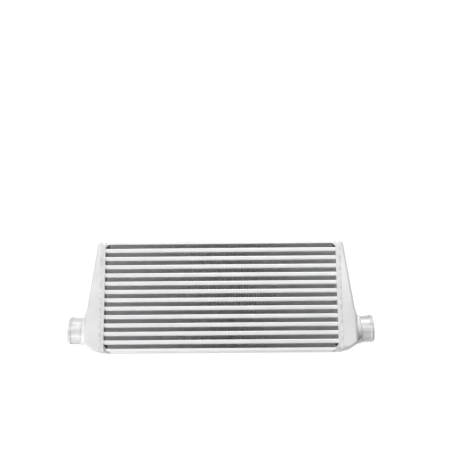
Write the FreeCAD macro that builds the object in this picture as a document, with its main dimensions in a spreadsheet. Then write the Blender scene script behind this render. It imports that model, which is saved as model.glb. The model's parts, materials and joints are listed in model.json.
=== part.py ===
import FreeCAD, Part
import Sketcher
import os

# Charge-air cooler lying on its back. Millimetres and degrees. X runs along the tubes, Y across
# the rows and Z up out of the front face. The origin is on the rest plane, below the core's middle.

SIZES = {
    # Core
    "core_length": (600, "exposed run of the tubes between the two header plates"),
    "core_depth": (76, "front-to-back size of the tubes"),
    "tube_count": (12, "charge-air tubes"),
    "tube_height": (10.5, "outside height of a tube"),
    "tube_wall": (0.9, "sheet of a tube"),
    "tube_corner": (2.5, "outside corner radius of a tube's nose"),
    "tube_insertion": (3, "how far a tube stands out of the header into the tank"),
    "braze_gap": (0.1, "clearance of a brazed joint"),
    # Fins between the tubes
    "fin_row": (11.2, "height of the air row between two tubes"),
    "fin_sheet": (0.4, "sheet of a fin"),
    "fin_folds": (54, "folds along a full row"),
    "fin_end_gap": (1.5, "clearance at each end of a fin"),
    "fin_recess": (1.5, "how far a fin lies behind the tube noses, front and back"),
    # Turbulators inside the tubes
    "turbulator_sheet": (0.4, "sheet of a turbulator"),
    "turbulator_folds": (9, "folds across a tube"),
    "turbulator_side_gap": (1.2, "clearance beside a turbulator"),
    # Side plates
    "side_plate_sheet": (2, "sheet of a side plate"),
    "side_plate_rise": (6, "height of its flanges above the outermost fin"),
    "joggle_run": (7, "length of the slanted end of a side plate"),
    "joggle_drop": (7, "how far the slanted end comes in towards the core"),
    # Header plates
    "header_sheet": (3, "sheet of a header plate"),
    "header_width": (10, "width of its rim along the tubes, sheet included"),
    "header_depth": (84, "front-to-back size of a header plate and its tank"),
    "weld_groove": (1.8, "bevel of both outer edges at the seam, where the weld runs"),
    # End tanks
    "tank_wall": (4, "cast wall"),
    "tank_edge": (8, "radius of the long outside edges"),
    "tank_corner": (9, "radius of the corners seen from the front"),
    "tank_top_reach": (10, "reach of the tank beyond its seam at the top"),
    "shoulder_reach": (34.5, "reach where the long slope ends above the neck"),
    "shoulder_offset": (54, "height of that place above the neck's middle"),
    "shoulder_radius": (30, "hollow curve from the slope to the snout"),
    "snout_reach": (40, "reach of the tank round the neck"),
    "snout_half_height": (37, "half the height of the tank's end face round the neck"),
    "foot_reach": (24, "reach of the corner below the slanted underside"),
    "foot_offset": (5.5, "height of that corner above the tank's bottom"),
    "foot_radius": (34, "radius of that corner"),
    # Necks
    "neck_offset": (87, "distance of the neck's middle below the core's middle"),
    "neck_tilt": (4, "angle by which the neck points up from the tubes' line"),
    "neck_radius": (34, "outside radius, the seat of the hose"),
    "neck_wall": (3, "wall of the neck"),
    "neck_reach": (43.5, "length of the neck beyond the tank's end face"),
    "neck_seat": (9, "length of the neck that sits inside the collar and the tank's end"),
    "neck_lip": (1, "chamfer of the mouth"),
    "bead_rise": (1.6, "height of the bead that holds the hose"),
    "bead_width": (6, "width of the bead"),
    "bead_setback": (3, "distance of the bead from the mouth"),
    "collar_wall": (2, "thickness of the collar's rim round the neck"),
    "collar_reach": (8, "how far the collar stands out of the tank's end face"),
    "collar_flare": (26, "radius of the hollow curve from its rim to its root"),
    "collar_margin": (0.5, "how far the collar's root stays inside the tank's front and back"),
    "collar_root": (16, "depth from which the collar grows inside the tank's end"),
}

# Places worked out from the sizes, as expressions that the sheet's values feed
PITCH = "(Sizes.tube_height + Sizes.fin_row)"
HALF_STACK = "(Sizes.tube_count * %s / 2 + Sizes.fin_row / 2)" % PITCH
HALF_HEIGHT = "(%s + Sizes.side_plate_rise)" % HALF_STACK
HALF_CORE = "(Sizes.core_length / 2)"
HALF_DEPTH = "(Sizes.header_depth / 2)"
SEAM = "(%s + Sizes.header_width)" % HALF_CORE
SNOUT = "(%s + Sizes.snout_reach)" % SEAM

# Places closer together than this are one place
SAME_PLACE = 0.001

doc = FreeCAD.newDocument("charge_air_cooler")
sheet = doc.addObject("Spreadsheet::Sheet", "Sizes")
for row, (alias, (value, meaning)) in enumerate(SIZES.items(), start=1):
    sheet.set("A%d" % row, meaning)
    sheet.set("B%d" % row, str(value))
    sheet.setAlias("B%d" % row, alias)
doc.recompute()


def number(expression):
    """The value of an expression."""
    return float(sheet.evalExpression(expression))


def bind(owner, **expressions):
    """Let properties of an object follow expressions."""
    for name, expression in expressions.items():
        owner.setExpression(name, expression)


def new_body(label, height="0"):
    """A body built about its own middle plane, which lies at half the header's depth."""
    body = doc.addObject("PartDesign::Body", label)
    body.Label = label
    body.setExpression("Placement.Base.y", height)
    body.setExpression("Placement.Base.z", HALF_DEPTH)
    return body


def new_sketch(body, role="XY_Plane", shift=("0", "0", "0"), angle="0"):
    """A sketch on one of the body's own planes, shifted along and turned about its normal."""
    sketch = body.newObject("Sketcher::SketchObject", "Sketch")
    plane = next(item for item in body.Origin.OriginFeatures if item.Role == role)
    sketch.AttachmentSupport = [(plane, "")]
    sketch.MapMode = "FlatFace"
    upright = FreeCAD.Rotation(FreeCAD.Vector(0, 0, 1), 1)
    sketch.AttachmentOffset = FreeCAD.Placement(FreeCAD.Vector(), upright)
    for axis, expression in zip("xyz", shift):
        sketch.setExpression("AttachmentOffset.Base." + axis, expression)
    sketch.setExpression("AttachmentOffset.Rotation.Angle", angle)
    return sketch


def add_size(sketch, constraint, expression):
    """Add a constraint whose value follows an expression."""
    name = "size_%d" % sketch.addConstraint(constraint)
    sketch.renameConstraint(sketch.ConstraintCount - 1, name)
    sketch.setExpression("Constraints." + name, expression)


def end_at(sketch, line, place):
    """Which end of a sketch line lies at a place: 1 for its start, 2 for its end."""
    geometry = sketch.Geometry[line]
    at_start = geometry.StartPoint.distanceToPoint(place)
    return 1 if at_start < geometry.EndPoint.distanceToPoint(place) else 2


def draw_outline(sketch, corners, rounds=None, hollows=None):
    """A closed counterclockwise outline through corners given as pairs of expressions.
    rounds maps the number of a corner to the radius of the outward arc that leaves it,
    and hollows does the same for inward arcs."""
    rounds = rounds or {}
    arcs = {**rounds, **(hollows or {})}
    places = [FreeCAD.Vector(number(x), number(y), 0) for x, y in corners]
    first = sketch.GeometryCount
    count = len(corners)
    for index, start in enumerate(places):
        end = places[(index + 1) % count]
        if index in arcs:
            chord = end - start
            radius = number(arcs[index])
            outward = FreeCAD.Vector(chord.y, -chord.x, 0).normalize()
            rise = radius - (radius ** 2 - chord.Length ** 2 / 4) ** 0.5
            if index in rounds:
                arc = Part.ArcOfCircle(start, (start + end) * 0.5 + outward * rise, end)
            else:
                arc = Part.ArcOfCircle(end, (start + end) * 0.5 - outward * rise, start)
            sketch.addGeometry(arc, False)
        else:
            sketch.addGeometry(Part.LineSegment(start, end), False)
    for index, place in enumerate(places):
        before = first + (index - 1) % count
        after = first + index
        ends = (before, end_at(sketch, before, place), after, end_at(sketch, after, place))
        sketch.addConstraint(Sketcher.Constraint("Coincident", *ends))
        for kind, expression, size in zip(("DistanceX", "DistanceY"), corners[index], place):
            add_size(sketch, Sketcher.Constraint(kind, after, ends[3], size), expression)
    for index, radius in arcs.items():
        constraint = Sketcher.Constraint("Radius", first + index, number(radius))
        add_size(sketch, constraint, radius)


def draw_rounded_rectangle(sketch, half_width, half_height, radius):
    """A rounded rectangle about the sketch's own origin."""
    near_x = "(%s - %s)" % (half_width, radius)
    near_y = "(%s - %s)" % (half_height, radius)
    corners = [
        (near_x, "-" + half_height),
        (half_width, "-" + near_y),
        (half_width, near_y),
        (near_x, half_height),
        ("-" + near_x, half_height),
        ("-" + half_width, near_y),
        ("-" + half_width, "-" + near_y),
        ("-" + near_x, "-" + half_height),
    ]
    draw_outline(sketch, corners, {corner: radius for corner in (0, 2, 4, 6)})


def pad(body, sketch, length, side="Symmetric"):
    feature = body.newObject("PartDesign::Pad", "Pad")
    feature.Profile = sketch
    feature.SideType = side
    feature.setExpression("Length", length)
    return feature


def pocket(body, sketch, length, side="Symmetric", backwards=False):
    feature = body.newObject("PartDesign::Pocket", "Pocket")
    feature.Profile = sketch
    feature.SideType = side
    feature.Reversed = backwards
    feature.setExpression("Length", length)
    return feature


def turn(body, sketch, kind):
    """A full turn of a sketch about its own horizontal axis: Revolution adds, Groove cuts."""
    feature = body.newObject("PartDesign::" + kind, kind)
    feature.Profile = sketch
    feature.ReferenceAxis = (sketch, ["H_Axis"])
    return feature


def repeat(body, feature, axis, count, spacing):
    """Copies of a feature along an axis of its own sketch."""
    pattern = body.newObject("PartDesign::LinearPattern", "LinearPattern")
    pattern.Originals = [feature]
    pattern.Direction = (feature.Profile[0], [axis])
    pattern.Mode = "Spacing"
    bind(pattern, Occurrences=count, Offset=spacing)
    body.Tip = pattern
    return pattern


def dress_edges(body, feature, kind, chosen):
    """A Fillet or a Chamfer on the edges of a feature that a test picks."""
    doc.recompute()
    names = ["Edge%d" % n for n, edge in enumerate(feature.Shape.Edges, start=1) if chosen(edge)]
    dressed = body.newObject("PartDesign::" + kind, kind)
    dressed.Base = (feature, names)
    return dressed


def round_edges(body, feature, radius, chosen):
    fillet = dress_edges(body, feature, "Fillet", chosen)
    fillet.setExpression("Radius", radius)
    return fillet


def bevel_seam(body, feature):
    """Bevel the outer edges at the seam, so that header and tank form a groove for the weld."""
    seam = number(SEAM)
    chamfer = dress_edges(body, feature, "Chamfer", lambda edge: is_across_at(edge, seam))
    chamfer.setExpression("Size", "Sizes.weld_groove")
    return chamfer


def near(value, target):
    return abs(value - target) < SAME_PLACE


def is_upright_at(edge, x, y):
    """Whether an edge runs along Z at a place in the front view."""
    return all(near(vertex.X, x) and near(vertex.Y, y) for vertex in edge.Vertexes)


def is_flat_at(edge, level, beyond):
    """Whether an edge lies level, in front or behind, and reaches beyond a place along X."""
    box = edge.BoundBox
    is_level = near(box.ZMin, box.ZMax) and near(abs(box.ZMin), level)
    return is_level and box.XMax > beyond + SAME_PLACE


def is_across_at(edge, x):
    """Whether an edge lies in the plane across the tubes at a place along X."""
    return near(edge.BoundBox.XMin, x) and near(edge.BoundBox.XMax, x)


def fold_corners(length, height, sheet_size):
    """One V of a folded sheet, standing on its feet: pairs of along and across."""
    half = "(%s / 2)" % length
    low = "(-%s / 2)" % height
    high = "(%s / 2)" % height
    rise = "(%s * sqrt(1 + pow(%s / %s; 2)))" % (sheet_size, height, half)
    return [
        ("0", low),
        (half, "(%s - %s)" % (high, rise)),
        (length, low),
        (length, "(%s + %s)" % (low, rise)),
        (half, high),
        ("0", "(%s + %s)" % (low, rise)),
    ]


def make_fin(label, level, run):
    """A folded fin between two tubes. Its folds run from front to back."""
    body = new_body(label, level)
    fold = "(%s / Sizes.fin_folds)" % run
    sketch = new_sketch(body, shift=("-%s / 2" % run, "0", "0"))
    height = "(Sizes.fin_row - 2 * Sizes.braze_gap)"
    draw_outline(sketch, fold_corners(fold, height, "Sizes.fin_sheet"))
    first = pad(body, sketch, "Sizes.core_depth - 2 * Sizes.fin_recess")
    repeat(body, first, "H_Axis", "Sizes.fin_folds", fold)
    return body


def make_tube(label, level):
    """A flat charge-air tube. Both ends pass through the header plates."""
    body = new_body(label, level)
    sketch = new_sketch(body, "YZ_Plane")
    half_width = "(Sizes.tube_height / 2)"
    half_depth = "(Sizes.core_depth / 2)"
    draw_rounded_rectangle(sketch, half_width, half_depth, "Sizes.tube_corner")
    inner = ["(%s - Sizes.tube_wall)" % size
             for size in (half_width, half_depth, "Sizes.tube_corner")]
    draw_rounded_rectangle(sketch, *inner)
    pad(body, sketch, "Sizes.core_length + 2 * (Sizes.header_sheet + Sizes.tube_insertion)")
    return body


def make_turbulator(label, level):
    """The folded sheet inside a tube. Its folds run along the tube."""
    body = new_body(label, level)
    run = "(Sizes.core_depth - 2 * Sizes.tube_wall - 2 * Sizes.turbulator_side_gap)"
    fold = "(%s / Sizes.turbulator_folds)" % run
    height = "(Sizes.tube_height - 2 * Sizes.tube_wall - 2 * Sizes.braze_gap)"
    sketch = new_sketch(body, "YZ_Plane", shift=("0", "-%s / 2" % run, "0"))
    corners = fold_corners(fold, height, "Sizes.turbulator_sheet")
    draw_outline(sketch, [(across, along) for along, across in corners])
    first = pad(body, sketch, "Sizes.core_length")
    repeat(body, first, "V_Axis", "Sizes.turbulator_folds", fold)
    return body


def make_side_plate(label):
    """A channel on the outermost fin. Its ends slant in and meet the header plates."""
    body = new_body(label)
    inside = HALF_STACK
    outside = "(%s + Sizes.side_plate_sheet)" % HALF_STACK
    end_inside = "(%s - Sizes.joggle_drop)" % inside
    end_outside = "(%s - Sizes.joggle_drop)" % outside
    bend = "(%s - Sizes.joggle_run)" % HALF_CORE
    sketch = new_sketch(body)
    draw_outline(sketch, [
        ("-" + HALF_CORE, end_inside),
        ("-" + bend, inside),
        (bend, inside),
        (HALF_CORE, end_inside),
        (HALF_CORE, end_outside),
        (bend, outside),
        ("-" + bend, outside),
        ("-" + HALF_CORE, end_outside),
    ])
    pad(body, sketch, "Sizes.core_depth")
    front = "(Sizes.core_depth / 2)"
    back = "(%s - Sizes.side_plate_sheet)" % front
    flanges = new_sketch(body, "YZ_Plane")
    for low, high in ((back, front), ("-" + front, "-" + back)):
        draw_outline(flanges, [
            (inside, low),
            (HALF_HEIGHT, low),
            (HALF_HEIGHT, high),
            (inside, high),
        ])
    pad(body, flanges, "2 * " + bend)
    return body


def make_header(label):
    """The right header plate: a pressed pan with a slot for each tube, open to the tank."""
    body = new_body(label)
    outer = new_sketch(body, "YZ_Plane", shift=("0", "0", HALF_CORE))
    draw_rounded_rectangle(outer, HALF_HEIGHT, HALF_DEPTH, "Sizes.tank_edge")
    pan = pad(body, outer, "Sizes.header_width", side="One side")
    bevel_seam(body, pan)
    hollow = new_sketch(body, "YZ_Plane", shift=("0", "0", SEAM))
    inner = ["(%s - Sizes.header_sheet)" % size
             for size in (HALF_HEIGHT, HALF_DEPTH, "Sizes.tank_edge")]
    draw_rounded_rectangle(hollow, *inner)
    pocket(body, hollow, "Sizes.header_width - Sizes.header_sheet", side="One side")
    lowest_tube = "-(Sizes.tube_count - 1) * %s / 2" % PITCH
    slot = new_sketch(body, "YZ_Plane", shift=(lowest_tube, "0", HALF_CORE))
    slot_sizes = ["(%s + Sizes.braze_gap)" % size
                  for size in ("Sizes.tube_height / 2", "Sizes.core_depth / 2", "Sizes.tube_corner")]
    draw_rounded_rectangle(slot, *slot_sizes)
    first = pocket(body, slot, "Sizes.header_sheet", side="One side", backwards=True)
    repeat(body, first, "H_Axis", "Sizes.tube_count", PITCH)
    return body


def tank_corners(inset):
    """The tank's outline seen from the front, with its walls moved in by an inset."""
    top = "(%s - %s)" % (HALF_HEIGHT, inset)
    snout = "(%s - %s)" % (SNOUT, inset)
    return [
        (SEAM, "-" + top),
        ("(%s + Sizes.foot_reach - %s)" % (SEAM, inset), "(-%s + Sizes.foot_offset)" % top),
        (snout, "(-Sizes.neck_offset - Sizes.snout_half_height + %s)" % inset),
        (snout, "(-Sizes.neck_offset + Sizes.snout_half_height - %s / 2)" % inset),
        ("(%s + Sizes.shoulder_reach - %s)" % (SEAM, inset),
         "(-Sizes.neck_offset + Sizes.shoulder_offset - %s / 2)" % inset),
        ("(%s + Sizes.tank_top_reach - %s)" % (SEAM, inset), top),
        (SEAM, top),
    ]


def make_tank(label):
    """The right end tank: a cast shell, open at the seam, with a collar for the neck."""
    body = new_body(label)
    sketch = new_sketch(body)
    corners = tank_corners("0")
    draw_outline(sketch, corners)
    feature = pad(body, sketch, "Sizes.header_depth")
    places = [(number(x), number(y)) for x, y in corners]
    foot, snout_low, snout_high, shoulder, top = places[1:6]
    for radius, group in (
        ("Sizes.foot_radius", [foot]),
        ("Sizes.tank_corner", [snout_low, snout_high, top]),
        ("Sizes.shoulder_radius", [shoulder]),
    ):
        feature = round_edges(
            body, feature, radius, lambda edge: any(is_upright_at(edge, *place) for place in group)
        )
    level = number(HALF_DEPTH)
    seam = number(SEAM)
    feature = round_edges(
        body, feature, "Sizes.tank_edge", lambda edge: is_flat_at(edge, level, seam)
    )
    bevel_seam(body, feature)
    add_collar(body)
    hollow_tank(body)
    open_neck_seat(body)
    return body


def neck_sketch(body):
    """A sketch whose horizontal axis is the neck's axis, from the tank's end face outwards."""
    return new_sketch(body, shift=(SNOUT, "-Sizes.neck_offset", "0"), angle="Sizes.neck_tilt")


def add_collar(body):
    """The collar flares from the neck's seat into the tank's end."""
    rim = "(Sizes.neck_radius + Sizes.collar_wall)"
    root = "(%s - Sizes.collar_margin)" % HALF_DEPTH
    sketch = neck_sketch(body)
    draw_outline(sketch, [
        ("-Sizes.collar_root", "0"),
        ("Sizes.collar_reach", "0"),
        ("Sizes.collar_reach", rim),
        ("-Sizes.tank_edge", root),
        ("-Sizes.collar_root", root),
    ], hollows={2: "Sizes.collar_flare"})
    turn(body, sketch, "Revolution")


def hollow_tank(body):
    """Cut the air space, one wall inside the outline."""
    sketch = new_sketch(body)
    draw_outline(sketch, tank_corners("Sizes.tank_wall"))
    feature = pocket(body, sketch, "Sizes.header_depth - 2 * Sizes.tank_wall")
    level = number(HALF_DEPTH + " - Sizes.tank_wall")
    seam = number(SEAM)
    inner_radius = "Sizes.tank_edge - Sizes.tank_wall"
    round_edges(body, feature, inner_radius, lambda edge: is_flat_at(edge, level, seam))


def open_neck_seat(body):
    """Bore the tank's end for the air and for the end of the neck."""
    bore = "(Sizes.neck_radius - Sizes.neck_wall)"
    seat = "(Sizes.neck_radius + Sizes.braze_gap)"
    step = "(Sizes.collar_reach - Sizes.neck_seat)"
    sketch = neck_sketch(body)
    draw_outline(sketch, [
        ("-Sizes.collar_root", "0"),
        ("Sizes.collar_reach", "0"),
        ("Sizes.collar_reach", seat),
        (step, seat),
        (step, bore),
        ("-Sizes.collar_root", bore),
    ])
    turn(body, sketch, "Groove")


def make_neck(label):
    """The right neck: a round tube with a bead near its chamfered mouth."""
    body = doc.addObject("PartDesign::Body", label)
    body.Label = label
    body.Placement = FreeCAD.Placement(
        FreeCAD.Vector(), FreeCAD.Rotation(FreeCAD.Vector(0, 0, 1), 1)
    )
    for axis, expression in zip("xyz", (SNOUT, "-Sizes.neck_offset", HALF_DEPTH)):
        body.setExpression("Placement.Base." + axis, expression)
    body.setExpression("Placement.Rotation.Angle", "Sizes.neck_tilt")
    bore = "(Sizes.neck_radius - Sizes.neck_wall)"
    bead_end = "(Sizes.neck_reach - Sizes.bead_setback)"
    bead_start = "(%s - Sizes.bead_width)" % bead_end
    bead_radius = "((pow(Sizes.bead_width / 2; 2) + pow(Sizes.bead_rise; 2)) / (2 * Sizes.bead_rise))"
    sketch = new_sketch(body)
    draw_outline(sketch, [
        ("(Sizes.collar_reach - Sizes.neck_seat)", bore),
        ("Sizes.neck_reach", bore),
        ("Sizes.neck_reach", "(Sizes.neck_radius - Sizes.neck_lip)"),
        ("(Sizes.neck_reach - Sizes.neck_lip)", "Sizes.neck_radius"),
        (bead_end, "Sizes.neck_radius"),
        (bead_start, "Sizes.neck_radius"),
        ("(Sizes.collar_reach - Sizes.neck_seat)", "Sizes.neck_radius"),
    ], {4: bead_radius})
    turn(body, sketch, "Revolution")
    return body


def mirror(label, source, normal):
    """The mirror image of a piece through the origin."""
    image = doc.addObject("Part::Mirroring", label)
    image.Label = label
    image.Source = source
    image.Normal = normal
    return image


def make_core():
    """Fins and tubes in turn, from the bottom row up."""
    pieces = []
    tubes = int(number("Sizes.tube_count"))
    full_run = "(Sizes.core_length - 2 * Sizes.fin_end_gap)"
    short_run = "(%s - 2 * Sizes.joggle_run)" % full_run
    for row in range(tubes + 1):
        level = "(%d - Sizes.tube_count / 2) * %s" % (row, PITCH)
        run = short_run if row in (0, tubes) else full_run
        pieces.append(make_fin("fin_%02d" % (row + 1), level, run))
    for row in range(tubes):
        level = "(%d - (Sizes.tube_count - 1) / 2) * %s" % (row, PITCH)
        pieces.append(make_tube("tube_%02d" % (row + 1), level))
        pieces.append(make_turbulator("turbulator_%02d" % (row + 1), level))
    return pieces


def make_pieces():
    across = FreeCAD.Vector(1, 0, 0)
    upward = FreeCAD.Vector(0, 1, 0)
    pieces = make_core()
    top_plate = make_side_plate("top_side_plate")
    pieces += [top_plate, mirror("bottom_side_plate", top_plate, upward)]
    for name, make in (("header", make_header), ("tank", make_tank), ("neck", make_neck)):
        right = make("right_" + name)
        pieces += [right, mirror("left_" + name, right, across)]
    return pieces


def check(pieces):
    """Stop unless every object is up to date and every piece is one sound solid."""
    for item in doc.Objects:
        if "Invalid" in item.State or "Error" in item.State:
            raise RuntimeError("%s is not built: %s" % (item.Label, item.State))
    for piece in pieces:
        shape = piece.Shape
        if shape.isNull() or not shape.isValid() or len(shape.Solids) != 1:
            raise RuntimeError("%s is not one sound solid" % piece.Label)


pieces = make_pieces()
doc.recompute()
check(pieces)
os.makedirs("parts", exist_ok=True)
for piece in pieces:
    piece.Shape.exportStep(os.path.join("parts", piece.Label + ".step"))
    print("%-20s %9.1f mm3" % (piece.Label, piece.Shape.Volume))
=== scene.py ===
import json
import math

import bpy
from mathutils import Euler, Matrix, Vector


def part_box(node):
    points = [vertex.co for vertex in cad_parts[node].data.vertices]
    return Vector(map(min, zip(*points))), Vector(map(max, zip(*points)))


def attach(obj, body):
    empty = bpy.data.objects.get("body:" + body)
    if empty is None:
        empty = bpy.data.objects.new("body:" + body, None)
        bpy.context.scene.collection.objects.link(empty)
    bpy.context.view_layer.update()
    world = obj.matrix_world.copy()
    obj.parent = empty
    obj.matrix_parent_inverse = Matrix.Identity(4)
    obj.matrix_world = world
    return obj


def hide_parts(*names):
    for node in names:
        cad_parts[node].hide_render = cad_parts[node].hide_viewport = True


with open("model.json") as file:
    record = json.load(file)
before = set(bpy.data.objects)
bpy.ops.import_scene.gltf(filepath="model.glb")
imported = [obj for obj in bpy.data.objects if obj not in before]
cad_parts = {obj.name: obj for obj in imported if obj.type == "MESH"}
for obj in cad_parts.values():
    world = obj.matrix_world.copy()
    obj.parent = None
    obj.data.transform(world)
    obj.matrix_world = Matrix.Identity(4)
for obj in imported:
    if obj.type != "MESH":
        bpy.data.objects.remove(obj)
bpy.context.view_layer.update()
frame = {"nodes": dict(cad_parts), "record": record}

MM = 0.001

# Camera: it stands over the near edge and looks down and slightly away. Its place is in metres,
# its turn in degrees, its lens and sensor in millimetres
CAMERA_PLACE = (0.03182, -0.32242, 2.29334)
CAMERA_TURN = (12.794, 0.458, -0.398)
CAMERA_LENS = 68.48
CAMERA_SENSOR = 36.0

# Light: the name, place, size and power of each lamp, the point that all of them face, and the
# even light from all round. The key stands low at the left of the near edge
LAMPS = (
    ("key", (-1.3, -1.7, 0.95), 1.0, 34),
    ("back", (0.0, 2.4, 1.7), 1.4, 64),
    ("right", (0.9, 0.9, 1.5), 0.8, 5),
)
LAMP_AIM = Vector((0, 0, 0.04))
WORLD_LIGHT = 0.13

# Floor: its size, how far it lies below the object, the grey that the lamps light, the strength
# of its own light near the object and the distances between which that rises to full white, and
# the share of it that is left in the notches at the ends of the side plates, a painted shade
# there
FLOOR_SIZE = 60.0
FLOOR_DROP = 0.2 * MM
FLOOR_COLOUR = 0.30
FLOOR_GLOW = 0.88
FLOOR_FADE = (0.8, 3.0)
PAINTED_SHADE_NOTCH_GLOW = 0.35

# Finishes: the detail of every noise, the limits that most of its values lie between, how many
# times finer the roughness varies than the colour, and the blue of a grey against its red
NOISE_DETAIL = 3.0
NOISE_LIMITS = (0.3, 0.7)
ROUGHNESS_FINER = 2.3
COOL_BLUE = 1.01

# Fins: one full wave of the folded sheet, its thickness, the sheet's points per wave, how steep
# its walls are and how much wider its folds are on one side than on the other
FIN_WAVE = 7.0 * MM
FIN_SHEET = 0.28 * MM
FIN_STEPS = 12
FIN_STEEPNESS = 1.9
FIN_BIAS = 0.5

# Sizes of the castings that the welds follow
TANK_EDGE = 8 * MM
COLLAR_WALL = 2 * MM

# Weld beads: the seam's width and height, and the neck weld's run along the neck, its lap over
# the collar's rim and its height
SEAM_WIDTH = 5.6 * MM
SEAM_RISE = 0.8 * MM
RING_RUN = 4.2 * MM
RING_LAP = 0.6 * MM
RING_RISE = 1.3 * MM

# Form of a bead, in shares of its height or of half its width: the points across it, how deep it
# is sunk, how wide it is and how much more where a ripple is high, and how far it sways to the
# sides, as the size, number and start of each sway
BEAD_POINTS = 9
BEAD_SINK = 0.1
BEAD_WIDTH = 0.96
BEAD_FLARE = 0.06
BEAD_SWAYS = ((0.05, 17, 0), (0.04, 31, 1))

# Ripples: the length of one, the rows of points along it, the share of its height that it loses
# from its front to its end, and the share of its length that its sides trail behind its middle
RIPPLE = 3.0 * MM
RIPPLE_STEPS = 6
RIPPLE_DEPTH = 0.45
RIPPLE_TRAIL = 0.4


def new_material(name):
    """A node material, its tree and its shader."""
    material = bpy.data.materials.new(name)
    material.use_nodes = True
    tree = material.node_tree
    return material, tree, tree.nodes["Principled BSDF"]


def calculate(tree, operation, *values):
    """The result of a Math node, from sockets and plain numbers."""
    node = tree.nodes.new("ShaderNodeMath")
    node.operation = operation
    for socket, value in zip(node.inputs, values):
        if isinstance(value, bpy.types.NodeSocket):
            tree.links.new(value, socket)
        else:
            socket.default_value = value
    return node.outputs["Value"]


def rescale(tree, value, results, limits=(0.0, 1.0)):
    """A value between two limits, taken to the same place between two results."""
    node = tree.nodes.new("ShaderNodeMapRange")
    node.inputs["From Min"].default_value, node.inputs["From Max"].default_value = limits
    node.inputs["To Min"].default_value, node.inputs["To Max"].default_value = results
    tree.links.new(value, node.inputs["Value"])
    return node.outputs["Result"]


def noise(tree, scale, stretch=(1, 1, 1)):
    """A noise over the object's own coordinates."""
    place = tree.nodes.new("ShaderNodeTexCoord")
    mapping = tree.nodes.new("ShaderNodeMapping")
    texture = tree.nodes.new("ShaderNodeTexNoise")
    mapping.inputs["Scale"].default_value = stretch
    texture.inputs["Scale"].default_value = scale
    texture.inputs["Detail"].default_value = NOISE_DETAIL
    tree.links.new(place.outputs["Object"], mapping.inputs["Vector"])
    tree.links.new(mapping.outputs["Vector"], texture.inputs["Vector"])
    return texture.outputs["Fac"]


def grey(tree, value):
    """A grey colour, very slightly cool, from a value."""
    node = tree.nodes.new("ShaderNodeCombineColor")
    tree.links.new(value, node.inputs["Red"])
    tree.links.new(value, node.inputs["Green"])
    tree.links.new(calculate(tree, "MULTIPLY", value, COOL_BLUE), node.inputs["Blue"])
    return node.outputs["Color"]


def bump(tree, shader, value, depth):
    """Lets a value raise the surface by up to a depth."""
    node = tree.nodes.new("ShaderNodeBump")
    node.inputs["Distance"].default_value = depth
    tree.links.new(value, node.inputs["Height"])
    tree.links.new(node.outputs["Normal"], shader.inputs["Normal"])


def metal(name, colour, roughness, metallic, patches, grain, depth,
          streak=(1, 1, 1), brush=(1, 1, 1), shine=0.5):
    """Bare aluminium. Its colour and roughness are ranges, which vary over patches of one scale
    and streak. Its fine bump has a scale, grain, a depth and a stretch, brush. shine is the
    strength of its clear reflection."""
    material, tree, shader = new_material(name)
    tone = rescale(tree, noise(tree, patches, streak), colour, NOISE_LIMITS)
    polish = rescale(tree, noise(tree, patches * ROUGHNESS_FINER), roughness, NOISE_LIMITS)
    tree.links.new(grey(tree, tone), shader.inputs["Base Color"])
    tree.links.new(polish, shader.inputs["Roughness"])
    shader.inputs["Metallic"].default_value = metallic
    shader.inputs["Specular IOR Level"].default_value = shine
    bump(tree, shader, noise(tree, grain, brush), depth)
    return material


def make_materials():
    """The finish of each slot, and that of the welds."""
    along_tubes = (0.1, 1, 1)
    return {
        "fin": metal("fin_sheet", (0.88, 0.95), (0.45, 0.60), metallic=0.3,
                     patches=60, grain=900, depth=0.05 * MM),
        "tube": metal("tube_satin", (0.79, 0.85), (0.45, 0.56), metallic=0.2,
                      patches=22, grain=700, depth=0.03 * MM, brush=along_tubes),
        "turbulator": metal("turbulator_sheet", (0.50, 0.58), (0.40, 0.55), metallic=0.7,
                            patches=60, grain=900, depth=0.05 * MM),
        "side_plate": metal("side_plate_satin", (0.85, 0.91), (0.48, 0.58), metallic=0.25,
                            patches=22, grain=500, depth=0.01 * MM, brush=along_tubes),
        "header": metal("header_satin", (0.70, 0.77), (0.40, 0.52), metallic=0.25,
                        patches=30, grain=700, depth=0.04 * MM),
        "tank": metal("cast_tank", (0.795, 0.92), (0.50, 0.62), metallic=0.10,
                      patches=10.6, grain=1500, depth=0.12 * MM, shine=0.15),
        # The neck's colour runs in long dark and light bands along its axis: partly the drawn
        # tube's finish and partly painted reflection bands
        "neck": metal("drawn_neck_painted_reflections", (0.42, 0.82), (0.54, 0.64), metallic=0.42,
                      patches=74, grain=260, depth=0.10 * MM,
                      streak=(0.08, 1, 1), brush=(8, 1, 1), shine=0.3),
        "weld": metal("weld_bead", (0.62, 0.90), (0.42, 0.56), metallic=0.1,
                      patches=90, grain=900, depth=0.08 * MM, shine=0.3),
    }


def new_piece(name, vertices, faces, material):
    """A mesh piece that rides on the body and takes the finish it is given."""
    mesh = bpy.data.meshes.new(name)
    mesh.from_pydata(vertices, [], faces)
    mesh.update()
    mesh.materials.append(material)
    piece = bpy.data.objects.new(name, mesh)
    bpy.context.scene.collection.objects.link(piece)
    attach(piece, "root")
    return piece


def fin_profile(low, high):
    """Points along the middle of a fin's sheet: a sine wave, made steep and cut off flat where
    it meets the tubes."""
    length = high.x - low.x
    waves = round(length / FIN_WAVE)
    steps = waves * FIN_STEPS
    middle = (low.y + high.y) / 2
    half = (high.y - low.y) / 2 - FIN_SHEET / 2
    points = []
    for step in range(steps + 1):
        phase = 2 * math.pi * waves * step / steps
        swing = max(-1.0, min(1.0, FIN_STEEPNESS * (math.sin(phase) + FIN_BIAS)))
        points.append(Vector((low.x + length * step / steps, middle + half * swing, 0)))
    return points


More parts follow.
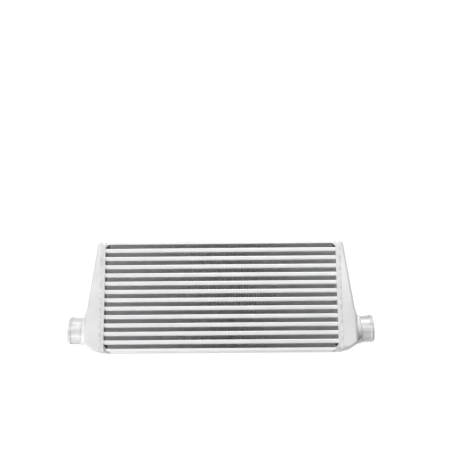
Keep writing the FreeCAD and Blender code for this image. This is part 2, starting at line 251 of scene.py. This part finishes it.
def make_fin(node, material):
    """The dense folded sheet of one air row, in the space of its solid."""
    low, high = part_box(node)
    profile = fin_profile(low, high)
    last = len(profile) - 1
    vertices = []
    for step, point in enumerate(profile):
        before = profile[max(step - 1, 0)]
        after = profile[min(step + 1, last)]
        along = (after - before).normalized()
        across = Vector((-along.y, along.x, 0)) * FIN_SHEET / 2
        for side in (point + across, point - across):
            vertices.append((side.x, side.y, low.z))
            vertices.append((side.x, side.y, high.z))
    faces = []
    for step in range(last):
        a = 4 * step
        b = a + 4
        faces.append((a, b, b + 1, a + 1))
        faces.append((a + 3, b + 3, b + 2, a + 2))
        faces.append((a + 1, b + 1, b + 3, a + 3))
        faces.append((a + 2, b + 2, b, a))
    end = 4 * last
    faces.append((0, 1, 3, 2))
    faces.append((end + 2, end + 3, end + 1, end))
    piece = new_piece(node + "_folds", vertices, faces, material)
    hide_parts(node)


def rounded_loop(half_y, half_z, radius, middle_z, spacing):
    """Points and outward normals round a rounded rectangle in the YZ plane, evenly spaced."""
    quarter = math.pi * radius / 2
    straight_y = 2 * (half_y - radius)
    straight_z = 2 * (half_z - radius)
    total = 2 * (straight_y + straight_z) + 4 * quarter
    count = round(total / spacing)
    runs = (straight_z, quarter, straight_y, quarter, straight_z, quarter, straight_y, quarter)
    corners = ((1, 1), (-1, 1), (-1, -1), (1, -1))
    points = []
    for index in range(count):
        rest = total * index / count
        run = 0
        while rest > runs[run]:
            rest -= runs[run]
            run += 1
        side = run // 2
        turn = math.pi / 2 * side
        if run % 2 == 0:
            outward = Vector((0, math.cos(turn), math.sin(turn)))
            along = Vector((0, -math.sin(turn), math.cos(turn)))
            half = (half_z, half_y)[side % 2]
            reach = (half_y, half_z)[side % 2]
            place = outward * reach + along * (rest - half + radius)
        else:
            angle = turn + rest / radius
            outward = Vector((0, math.cos(angle), math.sin(angle)))
            to_y, to_z = corners[side]
            centre = Vector((0, to_y * (half_y - radius), to_z * (half_z - radius)))
            place = centre + outward * radius
        points.append((place + Vector((0, 0, middle_z)), outward))
    return points


def weld_bead(name, places, rise, width, material):
    """A closed rippled bead through places, each a point, its outward normal and the bead's own
    direction across. The ripples are crescents, each lapping over the one before."""
    count = len(places)
    ripples = round(count / RIPPLE_STEPS)
    vertices = []
    for index, (place, outward, across) in enumerate(places):
        turn = 2 * math.pi * index / count
        sway = sum(size * math.sin(number * turn + start) for size, number, start in BEAD_SWAYS)
        for step in range(BEAD_POINTS):
            angle = math.pi * step / (BEAD_POINTS - 1)
            side = math.cos(angle)
            phase = (ripples * index / count + RIPPLE_TRAIL * side * side) % 1
            swell = 1 - RIPPLE_DEPTH * phase
            out = side * (BEAD_WIDTH + BEAD_FLARE * swell) + sway
            up = math.sin(angle) * swell - BEAD_SINK
            spot = place + across * out * width / 2 + outward * up * rise
            spot.z = max(spot.z, 0)
            vertices.append(spot)
    faces = []
    for index in range(count):
        a = index * BEAD_POINTS
        b = (index + 1) % count * BEAD_POINTS
        for step in range(BEAD_POINTS):
            other = (step + 1) % BEAD_POINTS
            faces.append((a + step, b + step, b + other, a + other))
    piece = new_piece(name, vertices, faces, material)
    piece.data.shade_smooth()


def make_seam(name, material):
    """The weld all round between a header plate and its tank. At the back it is dressed flush."""
    low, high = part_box(name + "_header")
    seam = Vector((high.x if name == "right" else low.x, 0, 0))
    half_y = (high.y - low.y) / 2
    half_z = (high.z - low.z) / 2
    middle = (high.z + low.z) / 2
    loop = rounded_loop(half_y, half_z, TANK_EDGE, middle, RIPPLE / RIPPLE_STEPS)
    across = Vector((1, 0, 0))
    places = [(place + seam, outward, across) for place, outward in loop]
    weld_bead(name + "_seam_weld", places, SEAM_RISE, SEAM_WIDTH, material)


def make_neck_weld(name, material):
    """The fillet weld round a neck, in the corner between its seat and the collar's rim."""
    mounts = {mount["name"]: mount for mount in frame["record"]["mounts"]}
    seat = mounts[name + "_hose_seat"]
    axis = Vector(seat["axis"])
    radius = seat["dims"]["r_mm"] * MM
    rim = Vector(seat["pos_m"]) - axis * seat["dims"]["length_mm"] * MM / 2
    up = Vector((0, 0, 1))
    sideways = axis.cross(up)
    width = math.hypot(RING_RUN, COLLAR_WALL)
    count = round(2 * math.pi * radius / RIPPLE) * RIPPLE_STEPS
    places = []
    for index in range(count):
        angle = 2 * math.pi * index / count
        outward = sideways * math.cos(angle) + up * math.sin(angle)
        place = rim + outward * (radius + COLLAR_WALL / 2) + axis * (RING_RUN / 2 - RING_LAP)
        lean = (outward * RING_RUN + axis * COLLAR_WALL) / width
        across = (outward * COLLAR_WALL - axis * RING_RUN) / width
        places.append((place, lean, across))
    weld_bead(name + "_neck_weld", places, RING_RISE, width, material)


def make_camera():
    """The camera of the photograph."""
    data = bpy.data.cameras.new("camera")
    data.lens = CAMERA_LENS
    data.sensor_width = CAMERA_SENSOR
    camera = bpy.data.objects.new("camera", data)
    camera.location = CAMERA_PLACE
    camera.rotation_euler = Euler([math.radians(angle) for angle in CAMERA_TURN])
    bpy.context.scene.collection.objects.link(camera)
    bpy.context.scene.camera = camera


def make_lamp(name, place, size, power):
    """A round soft lamp that faces the object."""
    data = bpy.data.lights.new(name, "AREA")
    data.shape = "DISK"
    data.size = size
    data.energy = power
    lamp = bpy.data.objects.new(name, data)
    lamp.location = place
    lamp.rotation_euler = (LAMP_AIM - Vector(place)).to_track_quat("-Z", "Y").to_euler()
    bpy.context.scene.collection.objects.link(lamp)


def seen_ray(tree):
    """1 for rays that show the background: from the camera, off metal or through glass."""
    light_path = tree.nodes.new("ShaderNodeLightPath")
    total = light_path.outputs["Is Camera Ray"]
    for name in ("Is Glossy Ray", "Is Transmission Ray"):
        total = calculate(tree, "MAXIMUM", total, light_path.outputs[name])
    return total


def make_world():
    """White where it is seen, and a plain softer light elsewhere."""
    world = bpy.data.worlds.new("world")
    world.use_nodes = True
    bpy.context.scene.world = world
    tree = world.node_tree
    background = tree.nodes["Background"]
    background.inputs["Color"].default_value = (1, 1, 1, 1)
    strength = rescale(tree, seen_ray(tree), (WORLD_LIGHT, 1.0))
    tree.links.new(strength, background.inputs["Strength"])


def far_white(tree, place):
    """The floor's own light, which rises to full white far from the object."""
    distance = tree.nodes.new("ShaderNodeVectorMath")
    distance.operation = "LENGTH"
    tree.links.new(place, distance.inputs[0])
    return rescale(tree, distance.outputs["Value"], (FLOOR_GLOW, 1.0), FLOOR_FADE)


def outside(tree, split, node):
    """1 on the floor beyond the outline of a node and its mirror image, and 0 below them."""
    low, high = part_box(node)
    beyond = []
    for axis, limit in (("X", high.x), ("Y", -low.y)):
        size = calculate(tree, "ABSOLUTE", split.outputs[axis])
        beyond.append(calculate(tree, "GREATER_THAN", size, limit))
    return calculate(tree, "MAXIMUM", *beyond)


def beyond_core(tree, place):
    """The share of the floor's own light that shows: none below the fins, where only the lamps
    light the floor, little in the notches at the ends of the side plates, as painted shade, and
    all of it around the core."""
    split = tree.nodes.new("ShaderNodeSeparateXYZ")
    tree.links.new(place, split.inputs["Vector"])
    # Painted shade: the floor's own light is cut down to a share in the notches beside the side
    # plates' ends
    around = rescale(tree, outside(tree, split, "bottom_side_plate"), (PAINTED_SHADE_NOTCH_GLOW, 1.0))
    return calculate(tree, "MULTIPLY", outside(tree, split, "fin_01"), around)


def make_floor():
    """A plain white floor. Part of its white is its own, so the object's shadow stays faint."""
    half = FLOOR_SIZE / 2
    corners = [(-half, -half, 0), (half, -half, 0), (half, half, 0), (-half, half, 0)]
    mesh = bpy.data.meshes.new("floor")
    mesh.from_pydata(corners, [], [(0, 1, 2, 3)])
    floor = bpy.data.objects.new("floor", mesh)
    floor.location.z = -FLOOR_DROP
    bpy.context.scene.collection.objects.link(floor)
    material, tree, shader = new_material("floor")
    shader.inputs["Base Color"].default_value = (FLOOR_COLOUR, FLOOR_COLOUR, FLOOR_COLOUR, 1)
    shader.inputs["Roughness"].default_value = 1.0
    shader.inputs["Specular IOR Level"].default_value = 0.0
    shader.inputs["Emission Color"].default_value = (1, 1, 1, 1)
    place = tree.nodes.new("ShaderNodeTexCoord").outputs["Object"]
    glow = seen_ray(tree)
    for share in (beyond_core(tree, place), far_white(tree, place)):
        glow = calculate(tree, "MULTIPLY", glow, share)
    tree.links.new(glow, shader.inputs["Emission Strength"])
    mesh.materials.append(material)


def main():
    """The studio, the finish of every solid, the fins' folds and the welds."""
    bpy.context.scene.view_settings.view_transform = "Standard"
    make_camera()
    make_world()
    make_floor()
    for lamp in LAMPS:
        make_lamp(*lamp)
    materials = make_materials()
    slots = {part["node"]: part["material_slot"] for part in frame["record"]["subparts"]}
    for node, piece in frame["nodes"].items():
        piece.data.materials.clear()
        piece.data.materials.append(materials[slots[node]])
        if node.startswith("fin_"):
            make_fin(node, materials["fin"])
    for name in ("left", "right"):
        make_seam(name, materials["weld"])
        make_neck_weld(name, materials["weld"])


main()
